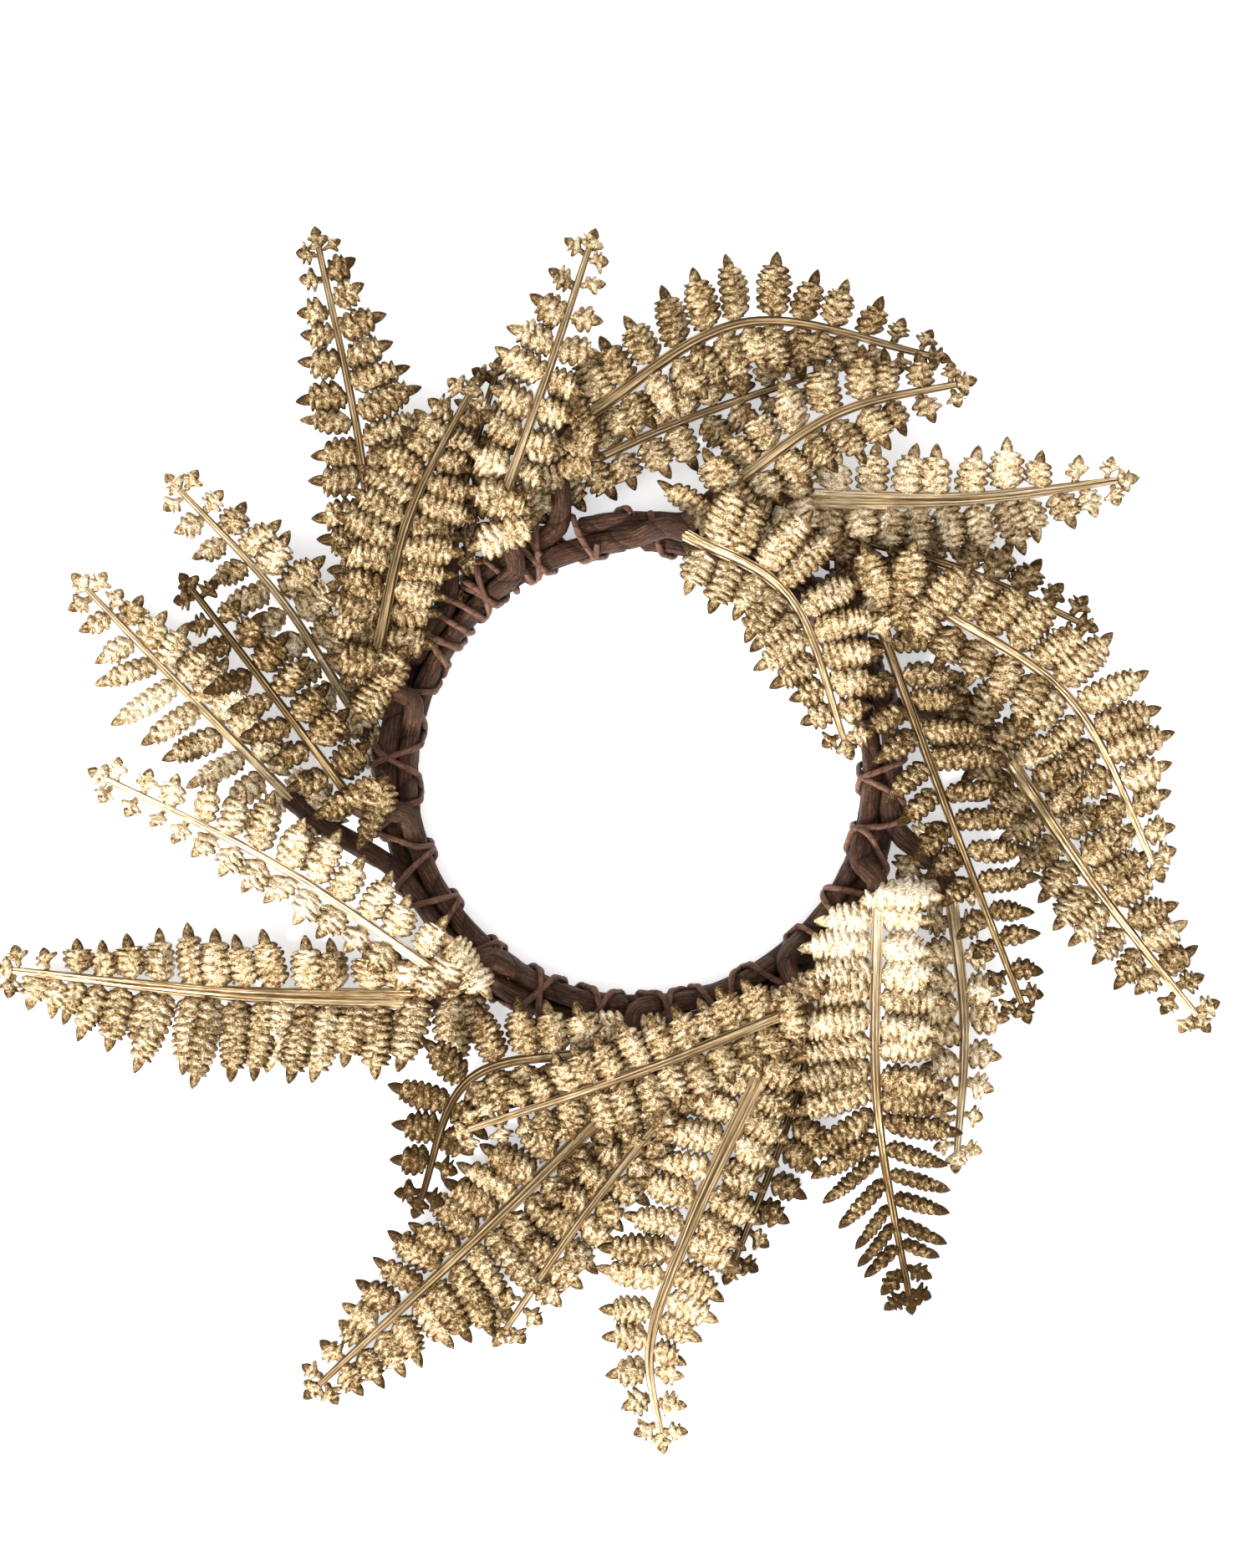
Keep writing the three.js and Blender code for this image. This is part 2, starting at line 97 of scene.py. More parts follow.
FRONDS = [
    Frond(8, "high", (15, 13), (0.6, 0.6), (1.19, 1.24), 3.2,
          [(17, 71, 16), (29, 98, 19), (40, 122, 15)]),
    Frond(15, "inner", (14, 15), (1.1, 1), (1.08, 1.35), 5.2,
          [(30, 76, 12), (50, 102, 13), (59, 137, 11)]),
    Frond(28, "low", (12, 12), (0.4, 0.1), (1.2, 1.2), 2.4,
          [(40, 75, 7), (58, 92, 8), (72, 114, 6)]),
    Frond(45, "high", (17, 13), (0.2, -0.2), (0.85, 0.9), 2.6,
          [(56, 68, 15), (94, 72, 17), (122, 109, 13)]),
    Frond(36, "inner", (18, 15), (0.5, 0.6), (1.24, 1.19), 2.8,
          [(60, 80, 23), (80, 103, 24), (101, 126, 17)]),
    Frond(70, "low", (16, 15), (0.5, 0.6), (1.3, 1.35), 3.8,
          [(85, 86, 9), (104, 113, 8), (114, 149, 5)]),
    Frond(98, "high", (10, 11), (0.9, 0.9), (1.19, 1.35), 3.2,
          [(111, 80, 9), (128, 99, 8), (141, 121, 6)]),
    Frond(104, "inner", (18, 20), (1.8, -1.1), (1.4, 1.5), 3,
          [(116, 63, 18), (144, 96, 18), (153, 144, 5)]),
    Frond(127, "low", (12, 12), (0, 0), (1.08, 1.08), 2.4,
          [(141, 71, 6), (160, 97, 5), (170, 123, 4)]),
    Frond(134, "inner", (13, 13), (0.6, 0.6), (1.4, 1.4), 2.8,
          [(147, 67, 21), (181, 71, 23), (207, 96, 19)]),
    Frond(142, "high", (15, 18), (0.75, 0.8), (1.35, 1.2), 4.6,
          [(156, 75, 15), (174, 110, 14), (179, 138, 12), (178, 161, 10)]),
    Frond(160, "low", (11, 10), (0.6, 0.6), (1.35, 1.3), 2.4,
          [(176, 82, 11), (187, 106, 11), (194, 140, 8)]),
    Frond(170, "high", (20, 16), (0.35, 0.5), (1.45, 1.35), 3.6,
          [(184, 79, 7), (199, 117, 7), (208, 169, 4)]),
    Frond(173, "inner", (13, 16), (1, -1.1), (1.24, 1.19), 2.9,
          [(184, 66, 17), (209, 83, 18), (207, 117, 14)]),
    Frond(210, "low", (21, 15), (0.65, 0.7), (1.6, 1.2), 5.2,
          [(223, 74, 9), (242, 112, 10), (253, 161, 4)]),
    Frond(211, "inner", (10, 14), (1.15, 1.25), (1.24, 1.13), 2.6,
          [(224, 67, 20), (256, 89, 20), (270, 130, 13)]),
    Frond(240, "high", (17, 13), (1, 1), (0.92, 1.4), 2.6,
          [(266, 84, 9), (280, 110, 8), (289, 143, 5)]),
    Frond(252, "inner", (13, 13), (0.2, -0.5), (0.81, 1.13), 2.4,
          [(265, 69, 17), (282, 89, 17), (293, 118, 13)]),
    Frond(269, "low", (14, 14), (0.9, 0.95), (1.03, 1.35), 2.4,
          [(281, 69, 6), (296, 96, 8), (302, 133, 5)]),
    Frond(280, "inner", (16, 15), (0.3, 0.45), (1.55, 1.55), 3,
          [(292, 68, 18), (318, 82, 18), (337, 101, 14)]),
    Frond(285, "high", (13, 17), (0.4, 0.4), (1.25, 1.3), 2.4,
          [(298, 72, 12), (318, 99, 12), (329, 151, 6)]),
    Frond(308, "high", (11, 11), (0.2, 0.1), (1.13, 1.13), 2.4,
          [(322, 73, 10), (332, 86, 9), (341, 104, 6)]),
    Frond(320, "inner", (13, 11), (0.8, 0.7), (1.19, 1.19), 2.6,
          [(333, 72, 22), (347, 97, 23), (355, 128, 18)]),
    Frond(327, "low", (12, 12), (0.5, 0.5), (1.3, 1.24), 2.6,
          [(340, 73, 5), (5, 84, 5), (26, 109, 5)]),
    Frond(338, "high", (16, 14), (0.4, 0.3), (1.15, 1.35), 3.2,
          [(350, 85, 17), (13, 110, 17), (36, 123, 11)]),
    Frond(350, "inner", (18, 15), (0.75, 0.6), (1.4, 1.3), 3,
          [(10, 58, 20), (39, 55, 22), (84, 50, 17)]),
]
OPEN_FRONDS = {1, 2, 6, 7, 11, 15, 25, 26}  # their pinnae stand apart
BARE_STEMS = {4, 7, 9, 14, 17, 22}  # on the others, the basal pinnae lie over the stem
CLAWED = {8}  # its outer pinnae are slim and swept to the tip
OVER_OPENING = {26}  # its pinnae may reach over the opening


# ---------------------------------------------------------------- places
def ring_axis():
    """The hoop's axis and the height that the tables' zero stands at, in millimetres."""
    low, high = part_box("hoop_wrap")
    centre_x = (low.x + high.x) / 2
    centre_y = low.y + (high.x - low.x) / 2
    lane_height = BUNDLE_HEIGHT + LANES["hoop"][1] * STRAND_PITCH
    height = (low.z + high.z) / 2 / MM - lane_height
    return np.array([centre_x / MM, centre_y / MM, height])


AXIS = ring_axis()


def polar(bearing, radius, height):
    """A point in millimetres from the hoop's axis."""
    angle = np.radians(bearing)
    return np.stack(np.broadcast_arrays(radius * np.sin(angle), radius * np.cos(angle), height), -1)


def lane_at(lane, bearing):
    """The centre of a lane of the bundle at a bearing."""
    outward, upward = LANES[lane]
    radius = BUNDLE_RADIUS + outward * STRAND_PITCH
    return polar(bearing, radius, BUNDLE_HEIGHT + upward * STRAND_PITCH)


def unit(vectors):
    """Vectors at length 1."""
    return vectors / np.maximum(np.linalg.norm(vectors, axis=-1, keepdims=True), 1e-9)


def smooth(low, high, value):
    """A smooth step from 0 at low to 1 at high."""
    share = np.clip((value - low) / (high - low), 0, 1)
    return share * share * (3 - 2 * share)


RACHIS_STEPS = 24  # of the curve between two of its points, as is the next
STEM_STEPS = 8
BOUND_POINTS = 13  # along a stem's stretch in the bundle
LEAVING_POINTS = 6  # on its way out to the frond


class Path:
    """A line through points, with its length, its direction and a side that lies flat."""

    def __init__(self, points):
        self.points = np.asarray(points, float)
        steps = np.linalg.norm(np.diff(self.points, axis=0), axis=1)
        self.along = np.concatenate([[0], np.cumsum(steps)])
        self.length = self.along[-1]
        self.tangents = unit(np.gradient(self.points, self.along, axis=0))

    def _read(self, values, along):
        """The values between those of the line's points."""
        return np.stack([np.interp(along, self.along, values[:, k]) for k in range(3)], -1)

    def at(self, along):
        """Points at distances along the line; it runs straight on past its ends."""
        along = np.asarray(along, float)
        tangent = self.tangent(along)
        beyond = along - np.clip(along, 0, self.length)
        return self._read(self.points, along) + tangent * beyond[..., None]

    def tangent(self, along):
        return unit(self._read(self.tangents, np.asarray(along, float)))

    def sides(self, along):
        """Tangent, right-hand side and upward normal."""
        tangent = self.tangent(along)
        side = unit(np.cross(tangent, UP))
        return tangent, side, np.cross(side, tangent)


def catmull_rom(points, steps):
    """The centripetal Catmull-Rom curve that the CAD's rachises and stems follow."""
    points = np.asarray(points, float)
    first = 2 * points[0] - points[1]
    last = 2 * points[-1] - points[-2]
    guide = np.vstack([first, points, last])
    share = np.linspace(0, 1, steps, endpoint=False)[:, None]
    pieces = []
    for k in range(len(points) - 1):
        before, start, end, after = guide[k : k + 4]
        gaps = [
            max(np.linalg.norm(b - a), 1e-6) ** 0.5
            for a, b in ((before, start), (start, end), (end, after))
        ]
        leave = (
            (start - before) / gaps[0]
            - (end - before) / (gaps[0] + gaps[1])
            + (end - start) / gaps[1]
        ) * gaps[1]
        arrive = (
            (end - start) / gaps[1]
            - (after - start) / (gaps[1] + gaps[2])
            + (after - end) / gaps[2]
        ) * gaps[1]
        square = -3 * start + 3 * end - 2 * leave - arrive
        cube = 2 * start - 2 * end + leave + arrive
        pieces.append(start + leave * share + square * share**2 + cube * share**3)
    return np.vstack([*pieces, points[-1:]])


def rachis_path(frond):
    return Path(catmull_rom([polar(*point) for point in frond.route], RACHIS_STEPS))


def bearing_of(points):
    return np.degrees(np.arctan2(points[..., 0], points[..., 1]))


def leaving_points(frond):
    """The way a stem takes from its lane to its frond."""
    bearing = frond.leaves
    points = [lane_at(frond.lane, bearing)]
    if frond.lane == "inner":
        bearing += CLIMB
        points.append(lane_at("inner", bearing) + UP * STRAND_PITCH)
    rachis = rachis_path(frond)
    heading = rachis.tangents[0]
    end = rachis.points[0] - heading * STEM_SETBACK
    start = points[-1]
    reach = np.linalg.norm(end - start) / 3
    guides = [start, start + polar(bearing + 90, 1, 0) * reach, end - heading * reach, end]
    share = np.linspace(0, 1, LEAVING_POINTS + 1)[1:, None]
    rest = 1 - share
    weights = [rest**3, 3 * share * rest**2, 3 * share**2 * rest, share**3]
    curve = sum(weight * guide for weight, guide in zip(weights, guides))
    return np.vstack([points, curve])


def degrees_to_clear_lane(frond):
    """How far round the ring a stem goes on before its lane is free for the next one."""
    points = leaving_points(frond)
    bearings = bearing_of(points)
    lane = lane_at(frond.lane, bearings)
    near = np.linalg.norm(points - lane, axis=1) < STRAND_PITCH
    after = (bearings[near] - frond.leaves + 180) % 360 - 180
    return after.max() + LANE_MARGIN


def bound_degrees(frond):
    """How far a stem runs in its lane before it leaves."""
    free = [
        (frond.leaves - other.leaves) % 360 - degrees_to_clear_lane(other)
        for other in FRONDS
        if other is not frond and other.lane == frond.lane
    ]
    return min(LONGEST_RUN, *free)


def stem_path(frond):
    """The centre line of a stem, along its lane and out to its frond."""
    start = frond.leaves - bound_degrees(frond)
    bearings = np.linspace(start, frond.leaves, BOUND_POINTS + 1)[:-1]
    points = np.vstack([lane_at(frond.lane, bearings), leaving_points(frond)])
    return Path(catmull_rom(points, STEM_STEPS))


# ---------------------------------------------------------------- meshes
class Sheet:
    """Vertices, faces and per-vertex values that are gathered into one mesh."""

    def __init__(self):
        self.vertices = []
        self.faces = []
        self.values = {}
        self.count = 0

    def add(self, vertices, faces, **values):
        """Adds vertices, faces that index them, and a value or a row of values for each vertex."""
        self.vertices.append(np.asarray(vertices).reshape(-1, 3))
        self.faces.append(np.asarray(faces) + self.count)
        for name, value in values.items():
            self.values.setdefault(name, []).append(np.asarray(value))
        self.count += len(self.vertices[-1])

    def object(self, name, material):
        """A smooth-shaded object in the row frame."""
        vertices = (np.vstack(self.vertices) + AXIS) * MM
        faces = np.vstack(self.faces)
        mesh = bpy.data.meshes.new(name)
        mesh.vertices.add(len(vertices))
        mesh.vertices.foreach_set("co", vertices.astype(np.float32).ravel())
        mesh.loops.add(faces.size)
        mesh.loops.foreach_set("vertex_index", faces.astype(np.int32).ravel())
        mesh.polygons.add(len(faces))
        mesh.polygons.foreach_set("loop_start", np.arange(0, faces.size, 4, dtype=np.int32))
        mesh.polygons.foreach_set("use_smooth", np.ones(len(faces), bool))
        mesh.update(calc_edges=True)
        for key, parts in self.values.items():
            values = np.concatenate(parts).astype(np.float32)
            kind = "FLOAT" if values.ndim == 1 else "FLOAT_VECTOR"
            attribute = mesh.attributes.new(key, kind, "POINT")
            attribute.data.foreach_set("value" if kind == "FLOAT" else "vector", values.ravel())
        mesh.materials.append(material)
        piece = bpy.data.objects.new(name, mesh)
        bpy.context.scene.collection.objects.link(piece)
        return piece


def grid_faces(rows, columns, wrap=False):
    """Quads of a grid of vertices; wrap joins the last column to the first."""
    index = np.arange(rows * columns).reshape(rows, columns)
    if wrap:
        index = np.hstack([index, index[:, :1]])
    return quads_between(index)


def quads_between(index):
    """Quads between the neighbours in a table of vertex numbers."""
    corners = [index[1:, :-1], index[1:, 1:], index[:-1, 1:], index[:-1, :-1]]
    return np.stack(corners, -1).reshape(-1, 4)


def add_cap(sheet, rim, middle, outward, **values):
    """Closes an end of a tube; outward is 1 at its far end and -1 at its near one.

    The values are those of the rim's vertices and of the middle.
    """
    count = len(rim)
    quads = [[i, i + 1, (i + 2) % count, count] for i in range(0, count, 2)]
    if outward > 0:
        quads = [quad[::-1] for quad in quads]
    sheet.add(np.vstack([rim, middle]), quads, **values)


# ---------------------------------------------------------------- pinnae
ACROSS = np.array([-1.0, -0.88, -0.62, -0.3, 0.0, 0.3, 0.62, 0.88, 1.0])
UNDER_COLUMNS = [2, 4, 6]
LOBE_ROWS = 4
LOBE_PITCH = 1.95
LOBE_CROWDING = 0.94  # below 1, the lobes grow closer to the tip
LOBE_JUT = (0.8, 1.1)
LOBE_WEIGHT = (0.45, 1.2)
STAGGER = 0.5  # the lobes on the two sides of a midrib alternate
MIDRIB = 0.6
FURROW_WIDTH = 0.2
FINIAL_LENGTH = 3.6
FINIAL_WIDTH = 2.7
FINIAL_SHARE = 0.34
FINIAL_ROWS = np.array([0.06, 0.35, 0.65, 0.88, 1.0])
FINIAL_POINT = 0.04
BUMP_HEIGHT = 0.16
FULL_BUMPS = 2.5  # half width from which the bumps are at their full height
THICKNESS = 0.75
# painted shade on the undersides of the pinnae
UNDER_SHADE = 0.1


class PinnaShape(NamedTuple):
    """Measures of a pinna, all but the length, the width and the heights as shares."""

    length: float
    width: float
    lobes: int
    stalk: float  # of the length, before the first lobe
    root: float  # width of the stalk
    tip: float  # width of the finial
    depth: float  # of the notches between the lobes
    crown: float  # height of the arch across
    ridge: float  # height of the lobes on it
    lift: float  # how steeply it starts upward
    droop: float  # how strongly it bends down to its tip
    curl: float  # how far its edges turn down
    lean: np.ndarray  # of the lobes on each side, towards the tip


def pinna_rows(shape):
    """Shares along a pinna, the phase of its lobes, and how far each row is into the finial."""
    lobes, stalk = shape.lobes, shape.stalk
    finial = min(FINIAL_LENGTH / shape.length, FINIAL_SHARE)
    body = np.linspace(0, lobes, lobes * LOBE_ROWS + 1)
    share = stalk + (1 - finial - stalk) * (body / lobes) ** LOBE_CROWDING
    rows = np.concatenate([[0, stalk * 0.7], share, 1 - finial * (1 - FINIAL_ROWS)])
    phase = np.concatenate([[0, 0], body, np.full(len(FINIAL_ROWS), lobes)])
    end = np.concatenate([np.zeros(2 + len(body)), FINIAL_ROWS])
    return rows, phase, end


def lobe_swell(phase):
    """0 in the crevice between two lobes, 1 on the crest of a lobe, which leans to the tip."""
    return np.interp(phase % 1.0, [0, 0.25, 0.5, 0.75, 1], [0, 0.8, 1.0, 0.85, 0])


def pinna_outline(shape, rows, phase, end):
    """How far the columns stand out along a pinna, and how much each spot of its lobes swells."""
    share = np.clip(phase / shape.lobes, 0, 1)
    body = (0.88 + 0.12 * smooth(0, 0.2, share)) * (1 - 0.25 * smooth(0.6, 1.0, share))
    right = (ACROSS > 0).astype(int)
    staggered = phase[:, None] + STAGGER * right
    lobe = staggered.astype(int)
    column = np.arange(len(ACROSS))
    jut = RANDOM.uniform(*LOBE_JUT, (shape.lobes + 2, 2))[lobe, right]
    weight = RANDOM.uniform(*LOBE_WEIGHT, (shape.lobes + 2, len(ACROSS)))[lobe, column]
    crest = np.where(ACROSS == 0, MIDRIB, lobe_swell(staggered))
    stem, finial = (rows < shape.stalk)[:, None], (end > 0)[:, None]
    width = body[:, None] * (1 - shape.depth * (1 - crest * jut))
    width = np.where(stem, shape.root, width)
    width = np.where(finial, shape.tip * (1 - end[:, None] ** 2.5) + FINIAL_POINT, width)
    swell = np.where(stem, 0.4, crest * weight)
    return width, np.where(finial, 0.5 - 0.3 * end[:, None], swell)


def lumps(x, y, amount):
    """Uneven bumps of a moulding, from a few millimetres across down to the finest."""
    phase = RANDOM.uniform(0, 2 * np.pi, 6)
    first = np.sin(1.9 * x + phase[0]) * np.sin(2.1 * y + phase[1])
    second = np.sin(3.4 * x + 1.3 * y + phase[2]) * np.sin(3.1 * y - 0.8 * x + phase[3])
    third = np.sin(0.9 * x + phase[4]) * np.sin(1.2 * y + phase[5])
    finest = RANDOM.uniform(-0.6, 0.6, np.broadcast(x, y).shape)
    return amount * (first + 0.8 * second + 0.7 * third + finest)


def pinna(shape):
    """One pinna: along X from its root, across Y, up Z. Returns vertices, faces and the relief that
    sets its painted shade and highlight.
    """
    rows, phase, end = pinna_rows(shape)
    outline, puff = pinna_outline(shape, rows, phase, end)
    half = shape.width / 2 * outline
    u = rows[:, None]
    across = np.abs(ACROSS)[None, :]
    lean = np.where(ACROSS < 0, shape.lean[0], shape.lean[1])[None, :]
    slant = lean * (0.4 * half * across + smooth(0, 0.3, across))
    x = shape.length * u + slant * (1 - smooth(0.5, 0.75, u))
    y = half * ACROSS[None, :]
    dome = (1 - across**2.2) ** 0.75
    furrow = np.exp(-((across / FURROW_WIDTH) ** 2)) * (1 - u)
    bumps = lumps(x, y, BUMP_HEIGHT) * np.minimum(1, half / FULL_BUMPS)
    lobes = dome**0.5 * (shape.ridge * (puff - 0.4) + bumps)
    height = shape.crown * (0.35 + 0.65 * outline) * dome
    height = height + lobes - 0.3 * shape.ridge * furrow
    spine = shape.length * (shape.lift * u - shape.droop * u**2) - shape.curl * across**2 * half
    top = np.stack(np.broadcast_arrays(x, y, spine + height), -1)
    thickness = np.minimum(THICKNESS, 0.6 * half + 0.1)
    under = top[:, UNDER_COLUMNS].copy()
    under[..., 2] = (spine + 0.55 * height - thickness)[:, UNDER_COLUMNS]
    # Painted shade and highlight, beside the patina: the paint is darker between the lobes, in the
    # midrib's furrow, towards the edges, on the finial and in the dips of the bumps, and paler on
    # the crests.
    finial = (end[:, None] > 0) * (0.2 + 0.2 * end[:, None])
    relief = (0.4 + 0.6 * puff) * (0.15 + 0.9 * dome) - 0.15 * furrow - finial
    relief = np.clip(relief + 0.9 * bumps, 0, 1)
    # The underside is painted dark, as painted shade.
    under_shade = np.full(under[..., 0].size, UNDER_SHADE)
    vertices, faces = closed_skin(top, under)
    return vertices, faces, np.concatenate([relief.ravel(), under_shade])


def closed_skin(top, under):
    """Vertices and quads of a top sheet and a coarser one under it, joined along their edges."""
    upper = np.arange(len(top) * len(ACROSS)).reshape(len(top), -1)
    lower = upper.size + np.arange(len(top) * len(UNDER_COLUMNS)).reshape(len(top), -1)
    below = np.column_stack([upper[:, -1], lower[:, ::-1], upper[:, 0]])
    ends = [cap_quads(upper[0], lower[0]), cap_quads(upper[-1], lower[-1])[:, ::-1]]
    vertices = np.vstack([top.reshape(-1, 3), under.reshape(-1, 3)])
    return vertices, np.vstack([quads_between(upper), quads_between(below), *ends])


def cap_quads(upper, lower):
    """Quads that close the end of a pinna, between its top row and its under row."""
    return np.array(
        [
            [upper[0], upper[1], upper[2], lower[0]],
            [upper[2], upper[3], lower[1], lower[0]],
            [upper[3], upper[4], upper[5], lower[1]],
            [upper[5], upper[6], lower[2], lower[1]],
            [upper[6], upper[7], upper[8], lower[2]],
        ]
    )


def place_pinna(sheet, root, forward, normal, shape, tone):
    """Adds a pinna with its root at a point, running forward, with its top along normal."""
    across = np.cross(normal, forward)
    vertices, faces, relief = pinna(shape)
    placed = (
        root
        + vertices[:, :1] * forward
        + vertices[:, 1:2] * across
        + vertices[:, 2:] * normal
    )
    sheet.add(placed, faces, relief=relief, tone=np.full(len(placed), tone), grain=placed)


def blade_profile(share):
    """Length of the pinnae at a share of the way along the rachis."""
    toward_tip = min(1, 0.3 + 1.6 * (1 - share))
    return toward_tip * (0.78 + 0.22 * min(1, share / 0.35))


def turned(vector, axis, angle):
    """A vector turned about a unit axis, by radians."""
    cosine, sine = math.cos(angle), math.sin(angle)
    return (
        vector * cosine
        + np.cross(axis, vector) * sine
        + axis * np.dot(axis, vector) * (1 - cosine)
    )


PINNA_SPACING = 9.3
CLOSE_SPACING = 7.4
WIDEST_PINNA = 8.8
STAR_WIDTH = 6.4  # of the small pinnae near a tip, and of the tip itself
STAR_LENGTH = 5.5  # a pinna up to this length is a star
FULL_LENGTH = 9.5  # and from this one on it is a full one
SHORTEST_PINNA = 5.6
SHORTEST_CUT = 4.4  # of the pinnae that are cut back, step by step, to keep the ring free
CUT_STEP = 0.4
RACHIS_TIP_WIDTH = 1.6
BARE_BASE = 5.0
FIRST_PINNA = 0.35  # of a spacing, from the bare base
ROOT_DEPTH = 0.72  # how far out on the rachis the pinnae stand
BASAL_PINNAE = 3
BASAL_REACH = 26  # how far back on the stem the basal ones may stand
TIP_STAR_LENGTH = 7.0
TIP_STAR_BACK = 4.6  # from the rachis's end to the root of the star
OPEN_RADIUS = 50.5  # a pinna's tip stays out of this circle
RING_RADIUS = 60.0  # and a basal one out of this

# What chance does to the pinnae
WIDTHS = (0.92, 1.08)
LENGTHS = (0.9, 1.12)
HEIGHTS = (0.7, 1.3)
LIFTS = (0.25, 0.5)
DROOPS = (0.15, 0.38)
CURLS = (0.0, 0.25)
LEANS = (-0.1, 0.6)
ROOT_SHIFTS = (-0.8, 0.8)
SWEEPS = (-2, 13)
ROLL_SPREAD = 13
TONE_SPREAD = 0.16

# What turns the pinnae from straight across towards the tip, beside chance
TIP_SWEEP = 8  # added little by little along the rachis
CLAW_SWEEP = 22  # added to a claw, which is slimmer too
CLAW_SLIMMING = 0.45
SPARSE_BELOW = 1.05  # the density under which a side counts as sparse
SPARSE_SWEEP = 55  # degrees for each 1 that the density lacks


def half_rachis(width, share):
    """Half the width of a rachis that tapers to its tip."""
    return (width + (RACHIS_TIP_WIDTH - width) * share**1.1) / 2


def pinna_shape(length, width, small):
    """Measures of a pinna: small goes from 0 for a full one to 1 for a star near the tip."""
    width = (width + (STAR_WIDTH - width) * small) * RANDOM.uniform(*WIDTHS)
    stalk = 0.04 + 0.24 * small
    room = length * (1 - stalk) - min(FINIAL_LENGTH, FINIAL_SHARE * length)
    return PinnaShape(
        length=length,
        width=width,
        lobes=max(1, round(room / LOBE_PITCH)),
        stalk=stalk,
        root=0.55 - 0.3 * small,
        tip=FINIAL_WIDTH / width,
        depth=0.25 + 0.3 * small,
        crown=(1.3 - 0.5 * small) * RANDOM.uniform(*HEIGHTS),
        ridge=(0.42 - 0.16 * small) * RANDOM.uniform(*HEIGHTS),
        lift=RANDOM.uniform(*LIFTS),
        droop=RANDOM.uniform(*DROOPS),
        curl=RANDOM.uniform(*CURLS),
        lean=RANDOM.uniform(*LEANS, 2),
    )


def add_pinnae(sheet, path, stem, number, frond):
    """Pinnae on both sides, to the rachis's tip; the basal ones stand on the end of the stem."""
    before = np.arange(-BASAL_REACH, 0, 1.5) + stem.length
    line = Path(np.vstack([stem.at(before), path.points]))
    pitch = PINNA_SPACING if number in OPEN_FRONDS else CLOSE_SPACING
    for hand in (0, 1):
        dense = frond.density[hand]
        width = min(pitch * dense, WIDEST_PINNA)
        count = round((path.length - BARE_BASE) * dense / width)
        spacing = (path.length - BARE_BASE) / count
        for i in range(-BASAL_PINNAE, count):
            along = BARE_BASE + (i + FIRST_PINNA) * spacing
            add_pinna(sheet, line, path.length, along, width, i < 0, hand, number, frond)


def add_pinna(sheet, line, blade_length, along, width, basal, hand, number, frond):
    """One pinna of a frond, where the ring leaves room for it."""
    outward = (-1, 1)[hand]
    share = max(along / blade_length, 0)
    at = line.length - blade_length + along
    tangent, side, normal = line.sides(at)
    offset = half_rachis(frond.rachis_width, share) * ROOT_DEPTH
    length = max(frond.reach[hand] * blade_profile(share) - offset, SHORTEST_PINNA)
    length *= RANDOM.uniform(*LENGTHS)
    claw = smooth(0.4, 0.7, share) if number in CLAWED else 0
    sweep = RANDOM.uniform(*SWEEPS) + TIP_SWEEP * share + CLAW_SWEEP * claw
    sweep = math.radians(sweep + SPARSE_SWEEP * max(SPARSE_BELOW - frond.density[hand], 0))
    forward = unit(outward * side * math.cos(sweep) + tangent * math.sin(sweep))
    root = line.at(at + RANDOM.uniform(*ROOT_SHIFTS)) + outward * side * offset
    if basal and number not in BARE_STEMS:
        root += normal * STRAND_RADIUS - outward * side * STRAND_RADIUS
        length += STRAND_RADIUS
    if basal and np.linalg.norm(root[:2]) < RING_RADIUS:
        return
    clear = 0 if number in OVER_OPENING else OPEN_RADIUS
    length = shortened(root, forward, length, RING_RADIUS if basal else clear)
    slim = (1.08 - 0.24 * share) * (1 - CLAW_SLIMMING * claw)
    shape = pinna_shape(length, width * slim, 1 - smooth(STAR_LENGTH, FULL_LENGTH, length))
    top = turned(normal, forward, math.radians(RANDOM.normal(0, ROLL_SPREAD)))
    # The frond's painted light and shade, with a random tone for each pinna.
    base_lit_paleness, tip_lit_paleness = frond.lit_paleness
    tone = base_lit_paleness + (tip_lit_paleness - base_lit_paleness) * share + RANDOM.normal(0, TONE_SPREAD)
    place_pinna(sheet, root, forward, top, shape, tone)


def shortened(root, forward, length, clear):
    """A length at which a pinna's tip stays a clear distance from the ring's axis."""
    while length > SHORTEST_CUT and np.linalg.norm((root + forward * length)[:2]) < clear:
        length -= CUT_STEP
    return length


def add_tip(sheet, path, lit_paleness):
    """The small star that a frond ends in."""
    tangent, _, normal = path.sides(path.length)
    star = pinna_shape(TIP_STAR_LENGTH, STAR_WIDTH, 1.0)
    star = star._replace(stalk=0.2, lift=0.05, droop=0.1)
    place_pinna(sheet, path.at(path.length - TIP_STAR_BACK), tangent, normal, star, lit_paleness)


# ---------------------------------------------------------------- rachis
HALF_SECTION = 17  # points on the top of a section, and as many below
RACHIS_STEP = 2.0
BARE_TIP = 3.2  # the end of the rachis that the star covers
BURIED_BASE = 0.6  # how far a rachis reaches back into its stem
ROUND_BASE = (1.0, 9.0)  # the stretch on which the strap turns from round to flat
BROAD_RACHIS = 4.0  # from this width on, a rachis has twice the ribs
RIB_HEIGHT = 0.2
STREAK_ACROSS = 1.7  # scales of the paint's grain, which is drawn out along the strap
STREAK_ALONG = 0.04
RACHIS_CAP = 0.5
CAP_RELIEF = 0.3
CAP_TONE = 0.5


